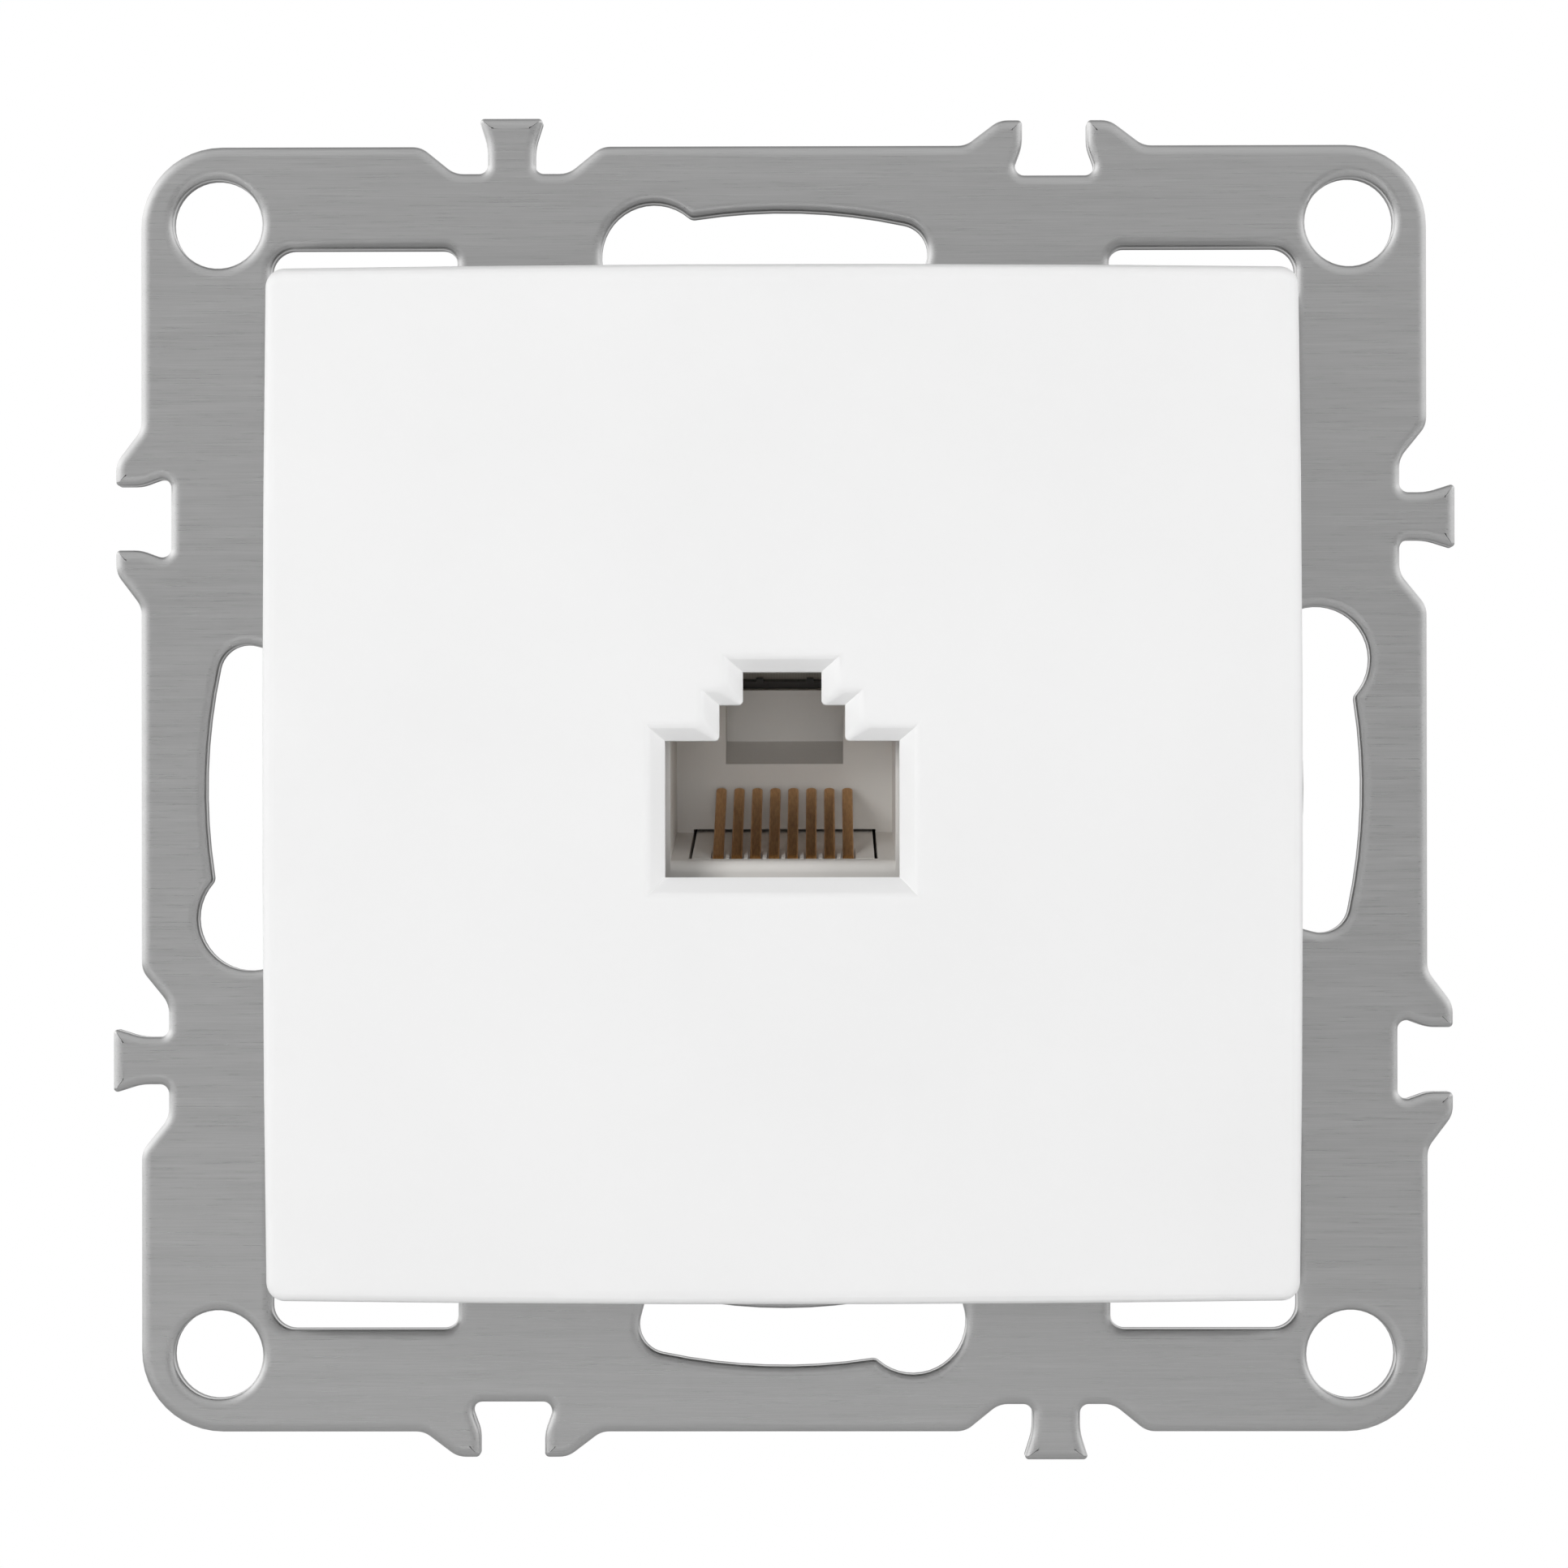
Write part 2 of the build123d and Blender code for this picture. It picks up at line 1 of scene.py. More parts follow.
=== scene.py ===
import bmesh
import bpy
from math import cos, radians, sin
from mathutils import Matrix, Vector


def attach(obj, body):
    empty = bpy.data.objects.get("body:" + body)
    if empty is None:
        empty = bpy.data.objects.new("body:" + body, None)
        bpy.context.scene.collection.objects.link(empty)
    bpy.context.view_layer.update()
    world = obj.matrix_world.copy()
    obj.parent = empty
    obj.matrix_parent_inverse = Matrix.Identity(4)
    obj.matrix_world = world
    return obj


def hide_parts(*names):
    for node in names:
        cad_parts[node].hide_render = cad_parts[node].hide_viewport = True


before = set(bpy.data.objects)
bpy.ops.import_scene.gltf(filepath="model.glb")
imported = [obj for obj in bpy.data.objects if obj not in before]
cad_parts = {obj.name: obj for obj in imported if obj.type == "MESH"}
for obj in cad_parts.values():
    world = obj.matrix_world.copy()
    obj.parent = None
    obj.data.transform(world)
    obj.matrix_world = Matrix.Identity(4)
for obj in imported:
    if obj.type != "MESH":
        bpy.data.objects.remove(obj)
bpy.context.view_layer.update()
mm = 0.001

# Support frame. One sheet of stainless steel, stamped out with its tabs, notches, slots and windows
# and brushed from side to side. It is screwed to the wall box, and everything else hangs on it.


def linear(hex_colour):
    """An sRGB hex colour as linear red, green, blue and alpha."""
    channels = [int(hex_colour[place:place + 2], 16) / 255 for place in (0, 2, 4)]
    return [c / 12.92 if c <= 0.04045 else ((c + 0.055) / 1.055) ** 2.4 for c in channels] + [1.0]


def add(tree, kind, links=(), attributes=(), **inputs):
    """One node: `links` feeds its inputs from other nodes' outputs, `inputs` sets the rest."""
    node = tree.nodes.new(kind)
    for name, value in dict(attributes).items():
        setattr(node, name, value)
    for name, value in inputs.items():
        node.inputs[name.replace("_", " ")].default_value = value
    for name, source, output in links:
        tree.links.new(source.outputs[output], node.inputs[name])
    return node


def new_material(name):
    """A material and its empty node tree."""
    material = bpy.data.materials.new(name)
    material.use_nodes = True
    material.node_tree.nodes.clear()
    return material, material.node_tree


def scaled_place(tree, size):
    """Object coordinates counted in a pattern's repeats, whose size on each axis is in metres."""
    place = add(tree, "ShaderNodeTexCoord")
    repeats = [1 / length for length in size]
    return add(tree, "ShaderNodeMapping", [("Vector", place, "Object")], Scale=repeats)


def noise(tree, size, detail=3.0, **inputs):
    """Noise whose marks are about as long as a size on each axis, in metres."""
    place = scaled_place(tree, size)
    return add(tree, "ShaderNodeTexNoise", [("Vector", place, "Vector")], Scale=1.0, Detail=detail, **inputs)


def ramp(tree, source, output, low, high, dark, light):
    """A colour ramp between two greys or colours over part of a pattern's range."""
    node = add(tree, "ShaderNodeValToRGB", [("Fac", source, output)])
    node.color_ramp.elements[0].position = low
    node.color_ramp.elements[0].color = dark
    node.color_ramp.elements[1].position = high
    node.color_ramp.elements[1].color = light
    return node


def span(tree, source, output, given, wanted):
    """Lays one range of a value onto another, each as (from, to)."""
    ends = {"From_Min": given[0], "From_Max": given[1], "To_Min": wanted[0], "To_Max": wanted[1]}
    return add(tree, "ShaderNodeMapRange", [("Value", source, output)], **ends)


def relief(tree, pattern, strength, depth):
    """A bump that follows a pattern, with its depth in metres."""
    return add(tree, "ShaderNodeBump", [("Height", pattern, "Fac")], Strength=strength, Distance=depth)


def surface(tree, links=(), **inputs):
    """Closes a material's tree with its shader and its output."""
    shader = add(tree, "ShaderNodeBsdfPrincipled", links, **inputs)
    add(tree, "ShaderNodeOutputMaterial", [("Surface", shader, "BSDF")])


def dress(node, material):
    """Gives a CAD node its finish, in place of the plain one that it was packed with."""
    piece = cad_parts[node]
    piece.data.materials.clear()
    piece.data.materials.append(material)


# Stainless steel sheet, brushed: fine scratches along X, a few millimetres long, so highlights spread
# up and down, over slow streaks of lighter and darker steel.
steel, tree = new_material("brushed stainless steel sheet")
scratch_wide = 0.045 * mm
scratch_long = 4.0 * mm
streak_wide = 0.7 * mm
streak_long = 22 * mm
scratches = noise(tree, (scratch_long, scratch_wide, scratch_wide), Roughness=0.6)
streaks = noise(tree, (streak_long, streak_wide, streak_wide))
scratch_colour = ramp(tree, scratches, "Fac", 0.25, 0.75, linear("a5a5a5"), linear("c6c6c6"))
streak_colour = ramp(tree, streaks, "Fac", 0.25, 0.75, linear("b0b0b0"), linear("bababa"))
steel_colour = add(tree, "ShaderNodeMix", [
    ("A", scratch_colour, "Color"), ("B", streak_colour, "Color"),
], {"data_type": "RGBA"}, Factor=0.6)
steel_rough = span(tree, scratches, "Fac", (0.3, 0.7), (0.26, 0.40))
scratch_relief = relief(tree, scratches, 0.06, 0.01 * mm)
surface(tree, [
    ("Base Color", steel_colour, "Result"), ("Roughness", steel_rough, "Result"),
    ("Normal", scratch_relief, "Normal"),
], Metallic=1.0)

# The cut walls: a burnished band next to the front, where the punch entered, and a torn grey one behind.
sheared, tree = new_material("sheared steel edge")
tear_wide = 0.1 * mm
tear_long = 1.0 * mm
burnish_ends = (-0.7 * mm, -0.5 * mm)
tears = noise(tree, (tear_wide, tear_long, tear_wide))
depth_place = add(tree, "ShaderNodeTexCoord")
depth = add(tree, "ShaderNodeSeparateXYZ", [("Vector", depth_place, "Object")])
torn_share = span(tree, depth, "Y", burnish_ends, (0.0, 1.0))
wall_colour = ramp(tree, torn_share, "Result", 0.0, 1.0, linear("b8b8b8"), linear("8f8f8f"))
wall_rough = span(tree, torn_share, "Result", (0.0, 1.0), (0.28, 0.55))
tear_relief = relief(tree, tears, 0.3, 0.03 * mm)
surface(tree, [
    ("Base Color", wall_colour, "Color"), ("Roughness", wall_rough, "Result"),
    ("Normal", tear_relief, "Normal"),
], Metallic=1.0)

# The punch draws the front edges over, so the piece that stands for the sheet has them rolled: rings
# of points go in from the outline on a quarter of an ellipse, and the front is filled inside them.
# Where the outline turns more tightly than the roll is wide, the rings meet in a ridge. Millimetres.
sheet_front = -1.2
roll_wide = 0.6
roll_deep = 0.32
roll_steps = 7
outline_step = 0.5
trial_inset = 0.01  # a first step inwards, which shows how tightly the outline turns
least_closing = 0.02  # a chord that closes by a smaller share of that step counts as straight
straight = 99.0  # the radius given to a straight chord
least_mitre = 0.5  # with the next, keeps the points of a sharp corner from running far in
least_ridge = 0.3
weld = 0.0005  # joins the corners that neighbouring triangles share
flatness = 0.001
rolled_lean = 0.5  # the most that a wall's normal may lean to the front, for its edge to be rolled
wall_lean = 0.05  # and for its face to be finished as a cut wall
same_place = 4  # decimals
flap = 0.02
crease = radians(35)


def open_loops(mesh):
    """The loops of vertices round a mesh's openings."""
    onward = {}
    for edge in mesh.edges:
        if len(edge.link_loops) == 1:
            loop = edge.link_loops[0]
            onward[loop.link_loop_next.vert] = loop.vert
    loops = []
    while onward:
        start, place = next(iter(onward.items()))
        loop = [start]
        del onward[start]
        while place is not start:
            loop.append(place)
            place = onward.pop(place)
        loops.append(loop)
    return loops


def corner_runs(radii, limit):
    """Runs of edges, as (first, count), that bend more tightly than a limit."""
    count = len(radii)
    tight = [radius < limit for radius in radii]
    starts = [index for index in range(count) if tight[index] and not tight[index - 1]]
    runs = []
    for start in starts:
        length = 1
        while tight[(start + length) % count]:
            length += 1
        runs.append((start, length))
    return runs


def roll_loop(loop, walls):
    """Rows of (place, normal), one for each step from a loop on the wall to the flat front."""
    count = len(loop)
    places = [vert.co.copy() for vert in loop]
    outward = [(walls[i - 1] + walls[i]).normalized() for i in range(count)]
    mitred = [outward[i] * (1 / max(least_mitre, outward[i].dot(walls[i]))) for i in range(count)]
    radii = []
    for i in range(count):
        j = (i + 1) % count
        chord = places[j] - places[i]
        inner = places[j] - mitred[j] * trial_inset - places[i] + mitred[i] * trial_inset
        closing = (chord.length - inner.dot(chord.normalized())) / trial_inset
        radii.append(chord.length / closing if closing > least_closing else straight)
    arc = [straight] * count
    ridge = [Vector()] * count
    for start, length in corner_runs(radii, roll_wide):
        radius = sum(radii[(start + i) % count] for i in range(length)) / length
        first, last = walls[start - 1], walls[(start + length) % count]
        half_turn = first.angle(last) / 2
        for i in range(length + 1):
            arc[(start + i) % count] = radius
            ridge[(start + i) % count] = (first + last).normalized() / max(least_ridge, cos(half_turn))
    rows = []
    for step in range(roll_steps + 1):
        turn = radians(90 * step / roll_steps)
        inset = roll_wide * (1 - cos(turn))
        depth = sheet_front + roll_deep * (1 - sin(turn))
        row = []
        for i in range(count):
            flat = places[i] - mitred[i] * min(inset, arc[i]) - ridge[i] * max(0, inset - arc[i])
            lean = outward[i] * cos(turn) * roll_deep - Vector((0, 1, 0)) * sin(turn) * roll_wide
            row.append((Vector((flat.x, depth, flat.z)), lean.normalized()))
        rows.append(row)
    return rows


def lay_rings(mesh, loop, rows, leans):
    """Faces between the rings of a rolled edge. Gives the last ring, where the flat front begins."""
    ring = loop
    made = {}
    for step, row in enumerate(rows):
        inner = []
        for vert, (place, lean) in zip(loop, row):
            key = tuple(round(value, same_place) for value in place)
            if step == 0:
                vert.co = place
            else:
                vert = made.get(key) or mesh.verts.new(place)
            made[key] = vert
            leans[vert] = leans.get(vert, Vector()) + lean
            inner.append(vert)
        if step:
            for i in range(len(loop)):
                corners = list(dict.fromkeys((ring[i - 1], ring[i], inner[i], inner[i - 1])))
                if len(corners) > 2:
                    mesh.faces.new(corners)
        ring = inner
    return ring


sheet = bmesh.new()
sheet.from_mesh(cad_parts["support_frame"].data)
bmesh.ops.scale(sheet, verts=sheet.verts, vec=(1 / mm,) * 3)
bmesh.ops.remove_doubles(sheet, verts=sheet.verts, dist=weld)
front = [
    face for face in sheet.faces if all(abs(vert.co.y - sheet_front) < flatness for vert in face.verts)
]
bmesh.ops.delete(sheet, geom=front, context="FACES")
for edge in [edge for edge in sheet.edges if len(edge.link_faces) == 1]:
    cuts = int(edge.calc_length() / outline_step)
    if cuts:
        bmesh.ops.subdivide_edges(sheet, edges=[edge], cuts=cuts)
sheet.normal_update()
leans = {}
front_edges = []
for loop in open_loops(sheet):
    pairs = list(zip(loop, loop[1:] + loop[:1]))
    walls = [sheet.edges.get(pair).link_faces[0].normal.copy() for pair in pairs]
    ring = loop
    if all(abs(wall.y) < rolled_lean for wall in walls):
        ring = lay_rings(sheet, loop, roll_loop(loop, walls), leans)
    steps = [(ring[i - 1], ring[i]) for i in range(len(ring)) if ring[i - 1] is not ring[i]]
    front_edges += [edge for edge in map(sheet.edges.get, steps) if edge]
bmesh.ops.triangle_fill(sheet, use_beauty=True, use_dissolve=False, edges=front_edges, normal=(0, -1, 0))
bmesh.ops.triangulate(sheet, faces=[face for face in sheet.faces if len(face.verts) > 4])

# At a few ridges points of the last ring all but meet and the fill leaves a flap, so they are joined.
unpaired = {vert for edge in sheet.edges if len(edge.link_faces) != 2 for vert in edge.verts}
bmesh.ops.remove_doubles(sheet, verts=list(unpaired), dist=flap)
bmesh.ops.recalc_face_normals(sheet, faces=sheet.faces)
for face in sheet.faces:
    face.smooth = True
    on_wall = abs(face.normal.y) < wall_lean and sheet_front < face.calc_center_median().y < 0
    face.material_index = 1 if on_wall else 0
for edge in sheet.edges:
    edge.smooth = len(edge.link_faces) == 2 and edge.calc_face_angle(0) < crease
bmesh.ops.scale(sheet, verts=sheet.verts, vec=(mm,) * 3)
sheet.verts.index_update()
lean_of = [leans.get(vert, Vector()).normalized() for vert in sheet.verts]
rolled_mesh = bpy.data.meshes.new("support_frame_rolled")
sheet.to_mesh(rolled_mesh)
sheet.free()
rolled_mesh.normals_split_custom_set([lean_of[corner.vertex_index] for corner in rolled_mesh.loops])
rolled_mesh.materials.append(steel)
rolled_mesh.materials.append(sheared)
rolled_sheet = bpy.data.objects.new("support_frame_rolled", rolled_mesh)
bpy.context.scene.collection.objects.link(rolled_sheet)
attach(rolled_sheet, "root")
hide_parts("support_frame")
dress("support_frame", steel)

# Cover. A square white moulding of ASA with a satin face and a stepped, flared opening for the plug.
# Four hooks behind it snap into slots in the front plate of the carrier.
plastic_ior = 1.5


def moulding(name, colour, other_colour, roughness, grain, depth):
    """A moulded plastic: a slow change of tone, and grain of a size and depth that the mould leaves."""
    flow = 14 * mm
    material, tree = new_material(name)
    tone = noise(tree, (flow,) * 3, detail=2.0)
    colours = ramp(tree, tone, "Fac", 0.3, 0.7, linear(colour), linear(other_colour))
    grains = noise(tree, (grain,) * 3)
    rough = span(tree, grains, "Fac", (0.3, 0.7), (roughness - 0.04, roughness + 0.04))
    grain_relief = relief(tree, grains, 0.1, depth)
    surface(tree, [
        ("Base Color", colours, "Color"), ("Roughness", rough, "Result"),
        ("Normal", grain_relief, "Normal"),
    ], IOR=plastic_ior)
    return material


# ASA, moulded against a finely eroded mould: white with a soft sheen and no visible grain.
white_asa = moulding("satin white ASA", "e4e4e4", "e6e6e6", 0.42, 0.25 * mm, 0.01 * mm)
dress("cover", white_asa)

# Its rim is rounded where the flare meets the face, and the CAD has it sharp, so a copy stands for it.
coplanar = radians(0.3)
sharp_from = radians(30)


def rounded(source, name, material, radius, segments, choose):
    """A closed copy of a CAD node with the edges that `choose` picks rounded, radius in millimetres."""
    shell = bmesh.new()
    shell.from_mesh(source.data)
    bmesh.ops.scale(shell, verts=shell.verts, vec=(1 / mm,) * 3)
    bmesh.ops.remove_doubles(shell, verts=shell.verts, dist=weld)
    bmesh.ops.dissolve_limit(shell, angle_limit=coplanar, verts=shell.verts, edges=shell.edges)
    shell.normal_update()
    bmesh.ops.bevel(shell, geom=[edge for edge in shell.edges if choose(edge)], offset=radius,
                    segments=segments, profile=0.5, affect="EDGES", clamp_overlap=True)
    bmesh.ops.triangulate(shell, faces=[face for face in shell.faces if len(face.verts) > 4])
    bmesh.ops.recalc_face_normals(shell, faces=shell.faces)
    for face in shell.faces:
        face.smooth = True
    for edge in shell.edges:
        edge.smooth = len(edge.link_faces) == 2 and edge.calc_face_angle(0) < sharp_from
    bmesh.ops.scale(shell, verts=shell.verts, vec=(mm,) * 3)
    mesh = bpy.data.meshes.new(name)
    shell.to_mesh(mesh)
    shell.free()
    mesh.materials.append(material)
    piece = bpy.data.objects.new(name, mesh)
    bpy.context.scene.collection.objects.link(piece)
    even = piece.modifiers.new("even shading", "WEIGHTED_NORMAL")
    even.keep_sharp = True
    return piece


cover_front = -10.7
flare_reach = 10.0
flare_round = 0.3
flare_least_turn = radians(20)


def on_flare_rim(edge):
    """An edge where the flare meets the face."""
    ends = [vert.co for vert in edge.verts]
    on_face = all(abs(end.y - cover_front) < flatness for end in ends)
    near_opening = all(max(abs(end.x), abs(end.z)) < flare_reach for end in ends)
    return on_face and near_opening and edge.calc_face_angle(0) > flare_least_turn


soft_cover = rounded(
    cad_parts["cover"], "cover_soft_flare", white_asa, flare_round, segments=5, choose=on_flare_rim
)
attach(soft_cover, "root")
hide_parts("cover")

# Jack. A light grey PBT moulding with the plug's cavity, and an insert that forms the cavity's floor.
# The contacts are bent round the insert's nose, and both slide into the housing from behind.

# PBT: a warm light grey, a little glossy where the mould was polished.
grey_pbt = moulding("light grey PBT", "ebe8e3", "eeebe7", 0.40, 0.2 * mm, 0.008 * mm)
dress("jack_housing", grey_pbt)
dress("contact_tray", grey_pbt)

# Spring contacts. Eight strips of phosphor bronze, 0.6 by 0.3 mm, with gold flashed over nickel where
# the plug touches. They are blanked, tumbled and bent, and their tips are round.
contact_count = 8
bronze, tree = new_material("gold flashed phosphor bronze")
roll_mark = (0.08 * mm, 1.5 * mm, 0.3 * mm)
roll = noise(tree, roll_mark)
bronze_colour = ramp(tree, roll, "Fac", 0.3, 0.7, linear("bd8a52"), linear("d6a468"))
roll_relief = relief(tree, roll, 0.1, 0.01 * mm)
surface(tree, [
    ("Base Color", bronze_colour, "Color"), ("Normal", roll_relief, "Normal"),
], Metallic=1.0, Roughness=0.28)

# Tumbling rounds the edges, which the CAD has sharp, so a copy stands for each contact.
tumble_round = 0.1
strip_edge_turn = radians(35)


def on_strip_edge(edge):
    """An edge of the strip, and not a step of one of its bends."""
    return edge.calc_face_angle(0) > strip_edge_turn


for index in range(contact_count):
    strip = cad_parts[f"contact_{index + 1}"]
    dress(f"contact_{index + 1}", bronze)
    smooth_strip = rounded(
        strip, f"contact_{index + 1}_tumbled", bronze, tumble_round, segments=4, choose=on_strip_edge
    )
    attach(smooth_strip, "root")
    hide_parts(f"contact_{index + 1}")

# Tail guide. A black bar of glass-filled nylon that spaces the contacts' tails, with two small lugs. It
# is held between the housing and the board.
black_nylon = moulding("black glass-filled nylon", "393734", "3e3c39", 0.50, 0.12 * mm, 0.01 * mm)
dress("tail_guide", black_nylon)

# Carrier. The grey moulding that passes through the sheet and holds the jack at its tilt. Barbs on its
# sides catch in the sheet's folded tongues, and hooks behind hold the board.
grey_abs = moulding("mid grey ABS", "a9a9a6", "adadaa", 0.48, 0.3 * mm, 0.01 * mm)
dress("jack_carrier", grey_abs)

# Circuit board. Bare composite laminate, 1.6 mm thick, warm grey, with the weave of its glass faintly
# showing. It joins the contacts to the blades, stands on the housing's posts and is held by the carrier.
laminate, tree = new_material("bare composite laminate")
weave_pitch = 0.5 * mm
weave_place = scaled_place(tree, (weave_pitch,) * 3)
weave = add(tree, "ShaderNodeTexWave", [("Vector", weave_place, "Vector")], Scale=1.0, Distortion=0.6)
laminate_colour = ramp(tree, weave, "Fac", 0.0, 1.0, linear("d2ccc0"), linear("d9d4c8"))
weave_relief = relief(tree, weave, 0.05, 0.01 * mm)
surface(tree, [
    ("Base Color", laminate_colour, "Color"), ("Normal", weave_relief, "Normal"),
], Roughness=0.45, IOR=plastic_ior)
dress("circuit_board", laminate)

# Termination strips. Two off-white combs of polycarbonate, four wire slots each, with the blades
# standing across them. Their pegs stand in holes of the board.
white_pc = moulding("off-white polycarbonate", "dddbd4", "e2e0da", 0.38, 0.2 * mm, 0.008 * mm)
dress("idc_strip_left", white_pc)
dress("idc_strip_right", white_pc)

# Blades. Forked strips of bronze, tinned, whose edges cut through the wire's sheath. Each drops into a
# slanting pocket of its comb, and its tail is soldered to the board.
tinned, tree = new_material("tinned phosphor bronze")
tin_cloud = 0.3 * mm
tin = noise(tree, (tin_cloud,) * 3)
tin_colour = ramp(tree, tin, "Fac", 0.3, 0.7, linear("bdbcb8"), linear("cfceca"))
surface(tree, [("Base Color", tin_colour, "Color")], Metallic=1.0, Roughness=0.34)
for index in range(contact_count):
    dress(f"idc_blade_{index + 1}", tinned)

# Solder joints. One fillet of tin-silver solder round each tail, where it leaves the board: behind it
# for the contacts, in front of it for the blades. They are soldered by hand, so no two are quite alike.
solder, tree = new_material("tin-silver solder")
frost_size = 0.15 * mm
frost = noise(tree, (frost_size,) * 3)
solder_colour = ramp(tree, frost, "Fac", 0.3, 0.7, linear("b9b9b8"), linear("d2d2d1"))
frost_relief = relief(tree, frost, 0.2, 0.01 * mm)
surface(tree, [
    ("Base Color", solder_colour, "Color"), ("Normal", frost_relief, "Normal"),
], Metallic=1.0, Roughness=0.25)

jack_tilt = radians(8.5)
way_in = Vector((0, cos(jack_tilt), sin(jack_tilt)))
end_depth = 0.01 * mm  # of a node's furthest points, which make up its end
foot_sinks = 0.03 * mm  # into the board's face
foot_radius = 0.66 * mm
neck_radius = 0.36 * mm
joint_high = 0.62 * mm
waist_draws_in = 1.2
least_size, most_size = 0.88, 1.12
seed = 11


def reach(node, way):
    """How far a CAD node reaches along a direction, and the middle of what lies there."""
    places = [vert.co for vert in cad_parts[node].data.vertices]
    far = max(place.dot(way) for place in places)
    ends = [place for place in places if far - place.dot(way) < end_depth]
    return far, sum(ends, Vector()) / len(ends)


def maths(tree, operation, one, other):
    """A maths node on two outputs, each as (node, output)."""
    return add(tree, "ShaderNodeMath", [(0, *one), (1, *other)], {"operation": operation})


feet, ways = [], []
for names, way in (("contact_{}", way_in), ("idc_blade_{}", -way_in)):
    face_of_board, _ = reach("circuit_board", way)
    for index in range(contact_count):
        far, tip = reach(names.format(index + 1), way)
        feet.append(tip - way * (far - face_of_board + foot_sinks))
        ways.append(way)
points = bpy.data.meshes.new("solder_joints")
points.from_pydata(feet, [], [])
lean_data = points.attributes.new("way", "FLOAT_VECTOR", "POINT")
for item, way in zip(lean_data.data, ways):
    item.vector = way

# The tree draws a cone in at its waist, stands a copy on each foot and makes them one mesh.
nodes = bpy.data.node_groups.new("solder joints", "GeometryNodeTree")
socket_ids = {}
for label, kind, direction in (
    ("Points", "NodeSocketGeometry", "INPUT"), ("Foot radius", "NodeSocketFloat", "INPUT"),
    ("Neck radius", "NodeSocketFloat", "INPUT"), ("Height", "NodeSocketFloat", "INPUT"),
    ("Seed", "NodeSocketInt", "INPUT"), ("Joints", "NodeSocketGeometry", "OUTPUT"),
):
    socket = nodes.interface.new_socket(label, in_out=direction, socket_type=kind)
    socket_ids[label] = socket.identifier
given = add(nodes, "NodeGroupInput")
cone = add(nodes, "GeometryNodeMeshCone", [
    ("Radius Bottom", given, "Foot radius"), ("Radius Top", given, "Neck radius"),
    ("Depth", given, "Height"),
], Vertices=18, Side_Segments=6)
where = add(nodes, "GeometryNodeInputPosition")
parts_of = add(nodes, "ShaderNodeSeparateXYZ", [("Vector", where, "Position")])
part_up = maths(nodes, "DIVIDE", (parts_of, "Z"), (given, "Height"))
part_down = add(nodes, "ShaderNodeMath", [(1, part_up, 0)], {"operation": "SUBTRACT"})
part_down.inputs[0].default_value = 1.0
sag = maths(nodes, "MULTIPLY", (part_up, 0), (part_down, 0))
waist = add(nodes, "ShaderNodeMath", [(0, sag, 0)], {"operation": "MULTIPLY_ADD"})
waist.inputs[1].default_value = -waist_draws_in
waist.inputs[2].default_value = 1.0
slimmer = add(nodes, "ShaderNodeCombineXYZ", [("X", waist, 0), ("Y", waist, 0)], Z=1.0)
drawn_in = add(nodes, "ShaderNodeVectorMath", [(0, where, "Position"), (1, slimmer, 0)],
               {"operation": "MULTIPLY"})
fillet = add(nodes, "GeometryNodeSetPosition", [("Geometry", cone, "Mesh"), ("Position", drawn_in, 0)])
lean_in = add(nodes, "GeometryNodeInputNamedAttribute", attributes={"data_type": "FLOAT_VECTOR"}, Name="way")
upright = add(nodes, "FunctionNodeAlignRotationToVector", [("Vector", lean_in, "Attribute")], {"axis": "Z"})
size = add(nodes, "FunctionNodeRandomValue", [("Seed", given, "Seed")], {"data_type": "FLOAT"})
size.inputs[2].default_value = least_size
size.inputs[3].default_value = most_size
copies = add(nodes, "GeometryNodeInstanceOnPoints", [
    ("Points", given, "Points"), ("Instance", fillet, "Geometry"), ("Rotation", upright, "Rotation"),
    ("Scale", size, 1),
])
joined = add(nodes, "GeometryNodeRealizeInstances", [("Geometry", copies, "Instances")])
smooth = add(nodes, "GeometryNodeSetShadeSmooth", [("Geometry", joined, "Geometry")])
coated = add(nodes, "GeometryNodeSetMaterial", [("Geometry", smooth, "Geometry")], Material=solder)
add(nodes, "NodeGroupOutput", [("Joints", coated, "Geometry")])

joints = bpy.data.objects.new("solder_joints", points)
bpy.context.scene.collection.objects.link(joints)
grow = joints.modifiers.new("solder joints", "NODES")
grow.node_group = nodes
for label, value in (
    ("Foot radius", foot_radius), ("Neck radius", neck_radius), ("Height", joint_high), ("Seed", seed),
):
    grow[socket_ids[label]] = value
settled = bpy.context.evaluated_depsgraph_get()
joint_mesh = bpy.data.meshes.new_from_object(joints.evaluated_get(settled))
joints.modifiers.clear()
joints.data = joint_mesh
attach(joints, "root")

# Stage. A pale floor well below the socket, which hangs on its wall mount, and soft white light.
floor_reach = 1.0
floor_back = 0.28
floor_z = -0.1
floor_mesh = bpy.data.meshes.new("floor")
floor_corners = [
    (-floor_reach, -floor_reach), (floor_reach, -floor_reach),
    (floor_reach, floor_back), (-floor_reach, floor_back),
]
floor_mesh.from_pydata([(x, y, floor_z) for x, y in floor_corners], [], [(0, 1, 2, 3)])
floor = bpy.data.objects.new("floor", floor_mesh)
bpy.context.scene.collection.objects.link(floor)
pale, tree = new_material("pale floor")
surface(tree, Base_Color=linear("f2f2f2"), Roughness=0.8)
floor_mesh.materials.append(pale)


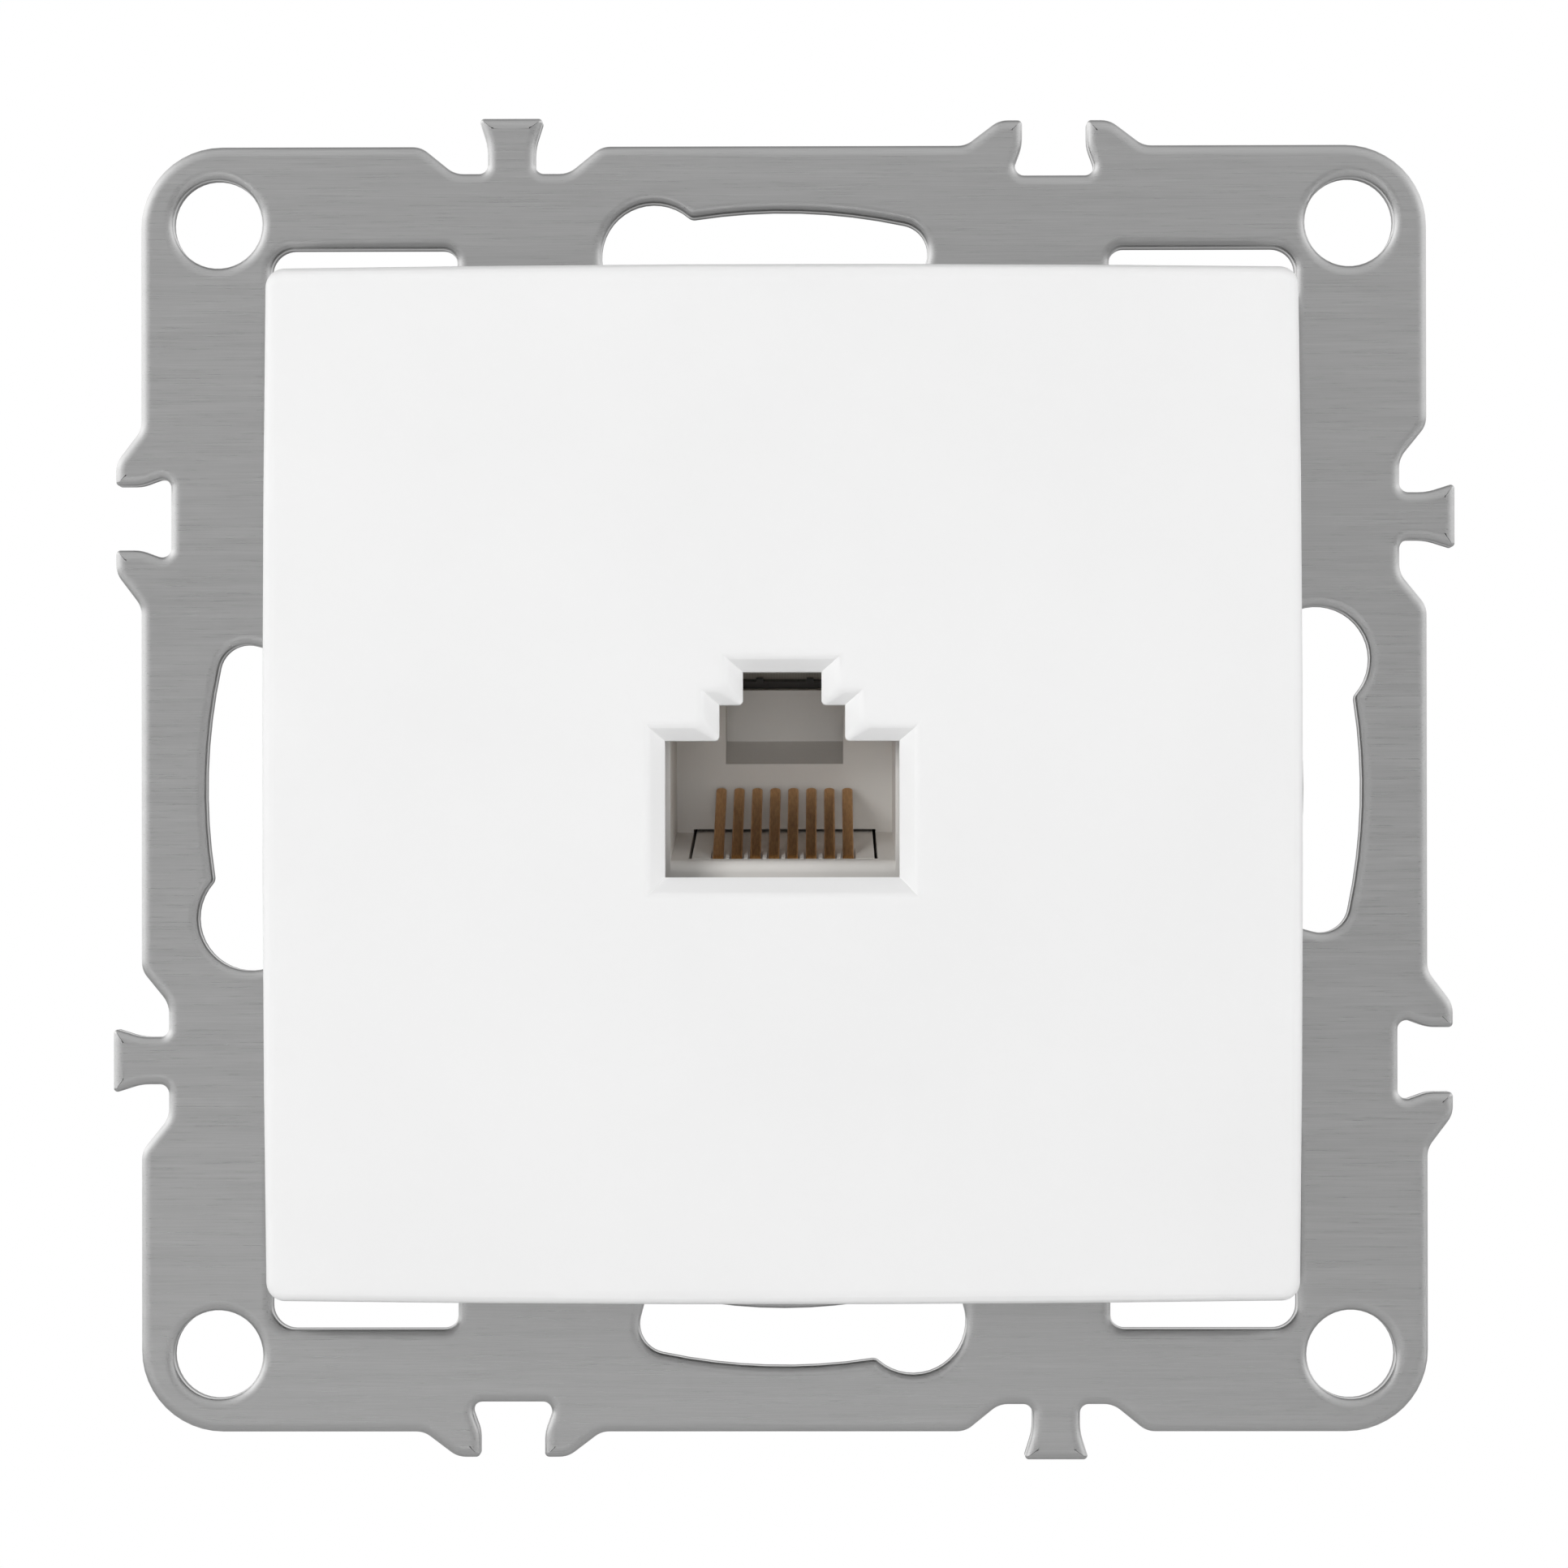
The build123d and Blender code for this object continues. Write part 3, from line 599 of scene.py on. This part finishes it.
def soft_light(name, place, size, power):
    """A square area light that points at the socket."""
    lamp = bpy.data.lights.new(name, "AREA")
    lamp.size = size
    lamp.energy = power
    light = bpy.data.objects.new(name, lamp)
    light.location = place
    light.rotation_mode = "QUATERNION"
    light.rotation_quaternion = (-Vector(place)).to_track_quat("-Z", "Y")
    light.visible_glossy = False
    bpy.context.scene.collection.objects.link(light)


soft_light("left softbox", (-0.31, -0.55, 0.14), 0.22, 1.62)
soft_light("right softbox", (0.50, -0.45, 0.16), 0.30, 0.68)
soft_light("front fill", (0.0, -0.60, 0.0), 0.20, 0.46)
soft_light("left strip", (-0.60, -0.16, 0.05), 0.20, 0.98)
soft_light("right strip", (0.60, -0.16, 0.05), 0.20, 1.18)
soft_light("top strip", (0.0, -0.16, 0.60), 0.20, 0.52)
soft_light("rear fill", (0.30, 0.60, 0.25), 0.30, 0.90)

# The studio is white to the eye, and lights dull things evenly. Polished things see a grey room behind
# the camera, brighter towards the left, with white walls to the sides and dark ones above and below.
world = bpy.data.worlds.new("studio")
bpy.context.scene.world = world
world.use_nodes = True
studio = world.node_tree
studio.nodes.clear()
path = add(studio, "ShaderNodeLightPath")
toward = add(studio, "ShaderNodeTexCoord")
axes = add(studio, "ShaderNodeSeparateXYZ", [("Vector", toward, "Generated")])


def wall_tones(stops):
    """Greys from straight behind the camera (0) past the side (0.5) to straight ahead (1)."""
    onward = span(studio, axes, "Y", (-1.0, 1.0), (0.0, 1.0))
    tones = add(studio, "ShaderNodeValToRGB", [("Fac", onward, "Result")])
    for position, grey in stops[1:-1]:
        tones.color_ramp.elements.new(position).color = (grey, grey, grey, 1)
    for place, (position, grey) in ((0, stops[0]), (-1, stops[-1])):
        tones.color_ramp.elements[place].position = position
        tones.color_ramp.elements[place].color = (grey, grey, grey, 1)
    return tones


side_tones = wall_tones([(0.0, 0.58), (0.08, 0.80), (0.22, 1.0), (0.6, 1.0), (0.8, 1.0)])
level_tones = wall_tones([(0.0, 0.58), (0.10, 0.60), (0.30, 0.62), (0.45, 0.34), (0.72, 0.30), (0.95, 1.0)])
across = maths(studio, "MULTIPLY", (axes, "X"), (axes, "X"))
upward = maths(studio, "MULTIPLY", (axes, "Z"), (axes, "Z"))
both_ways = maths(studio, "ADD", (across, 0), (upward, 0))
sideways = maths(studio, "DIVIDE", (across, 0), (both_ways, 0))
room = add(studio, "ShaderNodeMix", [
    ("Factor", sideways, 0), ("A", level_tones, "Color"), ("B", side_tones, "Color"),
], {"data_type": "RGBA"})
left_lift = span(studio, axes, "X", (-0.5, 0.5), (1.36, 0.80))
top_lift = span(studio, axes, "Z", (-0.35, 0.35), (0.42, 1.28))
crosswise = maths(studio, "MULTIPLY", (axes, "X"), (axes, "Z"))
corner_lift = span(studio, crosswise, 0, (-0.03, 0.03), (0.87, 1.13))
side_lift = span(studio, across, 0, (0.12, 0.6), (1.0, 1.5))
flat_lift = maths(studio, "MULTIPLY", (left_lift, 0), (top_lift, 0))
edge_lift = maths(studio, "MULTIPLY", (corner_lift, 0), (side_lift, 0))
lift = maths(studio, "MULTIPLY", (flat_lift, 0), (edge_lift, 0))
white = (1, 1, 1, 1)
even_light = add(studio, "ShaderNodeBackground", Color=white, Strength=0.17)
room_light = add(studio, "ShaderNodeBackground", [("Color", room, "Result"), ("Strength", lift, 0)])
backdrop = add(studio, "ShaderNodeBackground", Color=white, Strength=1.0)
by_gloss = add(studio, "ShaderNodeMixShader", [
    ("Fac", path, "Is Glossy Ray"), (1, even_light, 0), (2, room_light, 0),
])
by_eye = add(studio, "ShaderNodeMixShader", [
    ("Fac", path, "Is Camera Ray"), (1, by_gloss, 0), (2, backdrop, 0),
])
add(studio, "ShaderNodeOutputWorld", [("Surface", by_eye, 0)])
bpy.context.scene.view_settings.view_transform = "Standard"

# Camera. On the photograph's viewpoint, a quarter of a metre in front of the socket.
lens = bpy.data.cameras.new("camera")
focal_px, raised_px, image_px = 5717.5, 131.6, 1932
lens.sensor_width = 36.0
lens.lens = lens.sensor_width * focal_px / image_px
lens.shift_y = raised_px / image_px
lens.clip_start = 0.01
camera = bpy.data.objects.new("camera", lens)
camera.location = (2.065 * mm, -257.18 * mm, -6.617 * mm)
camera.rotation_euler = (radians(90.215), radians(0.070), radians(0.458))
bpy.context.scene.collection.objects.link(camera)
bpy.context.scene.camera = camera
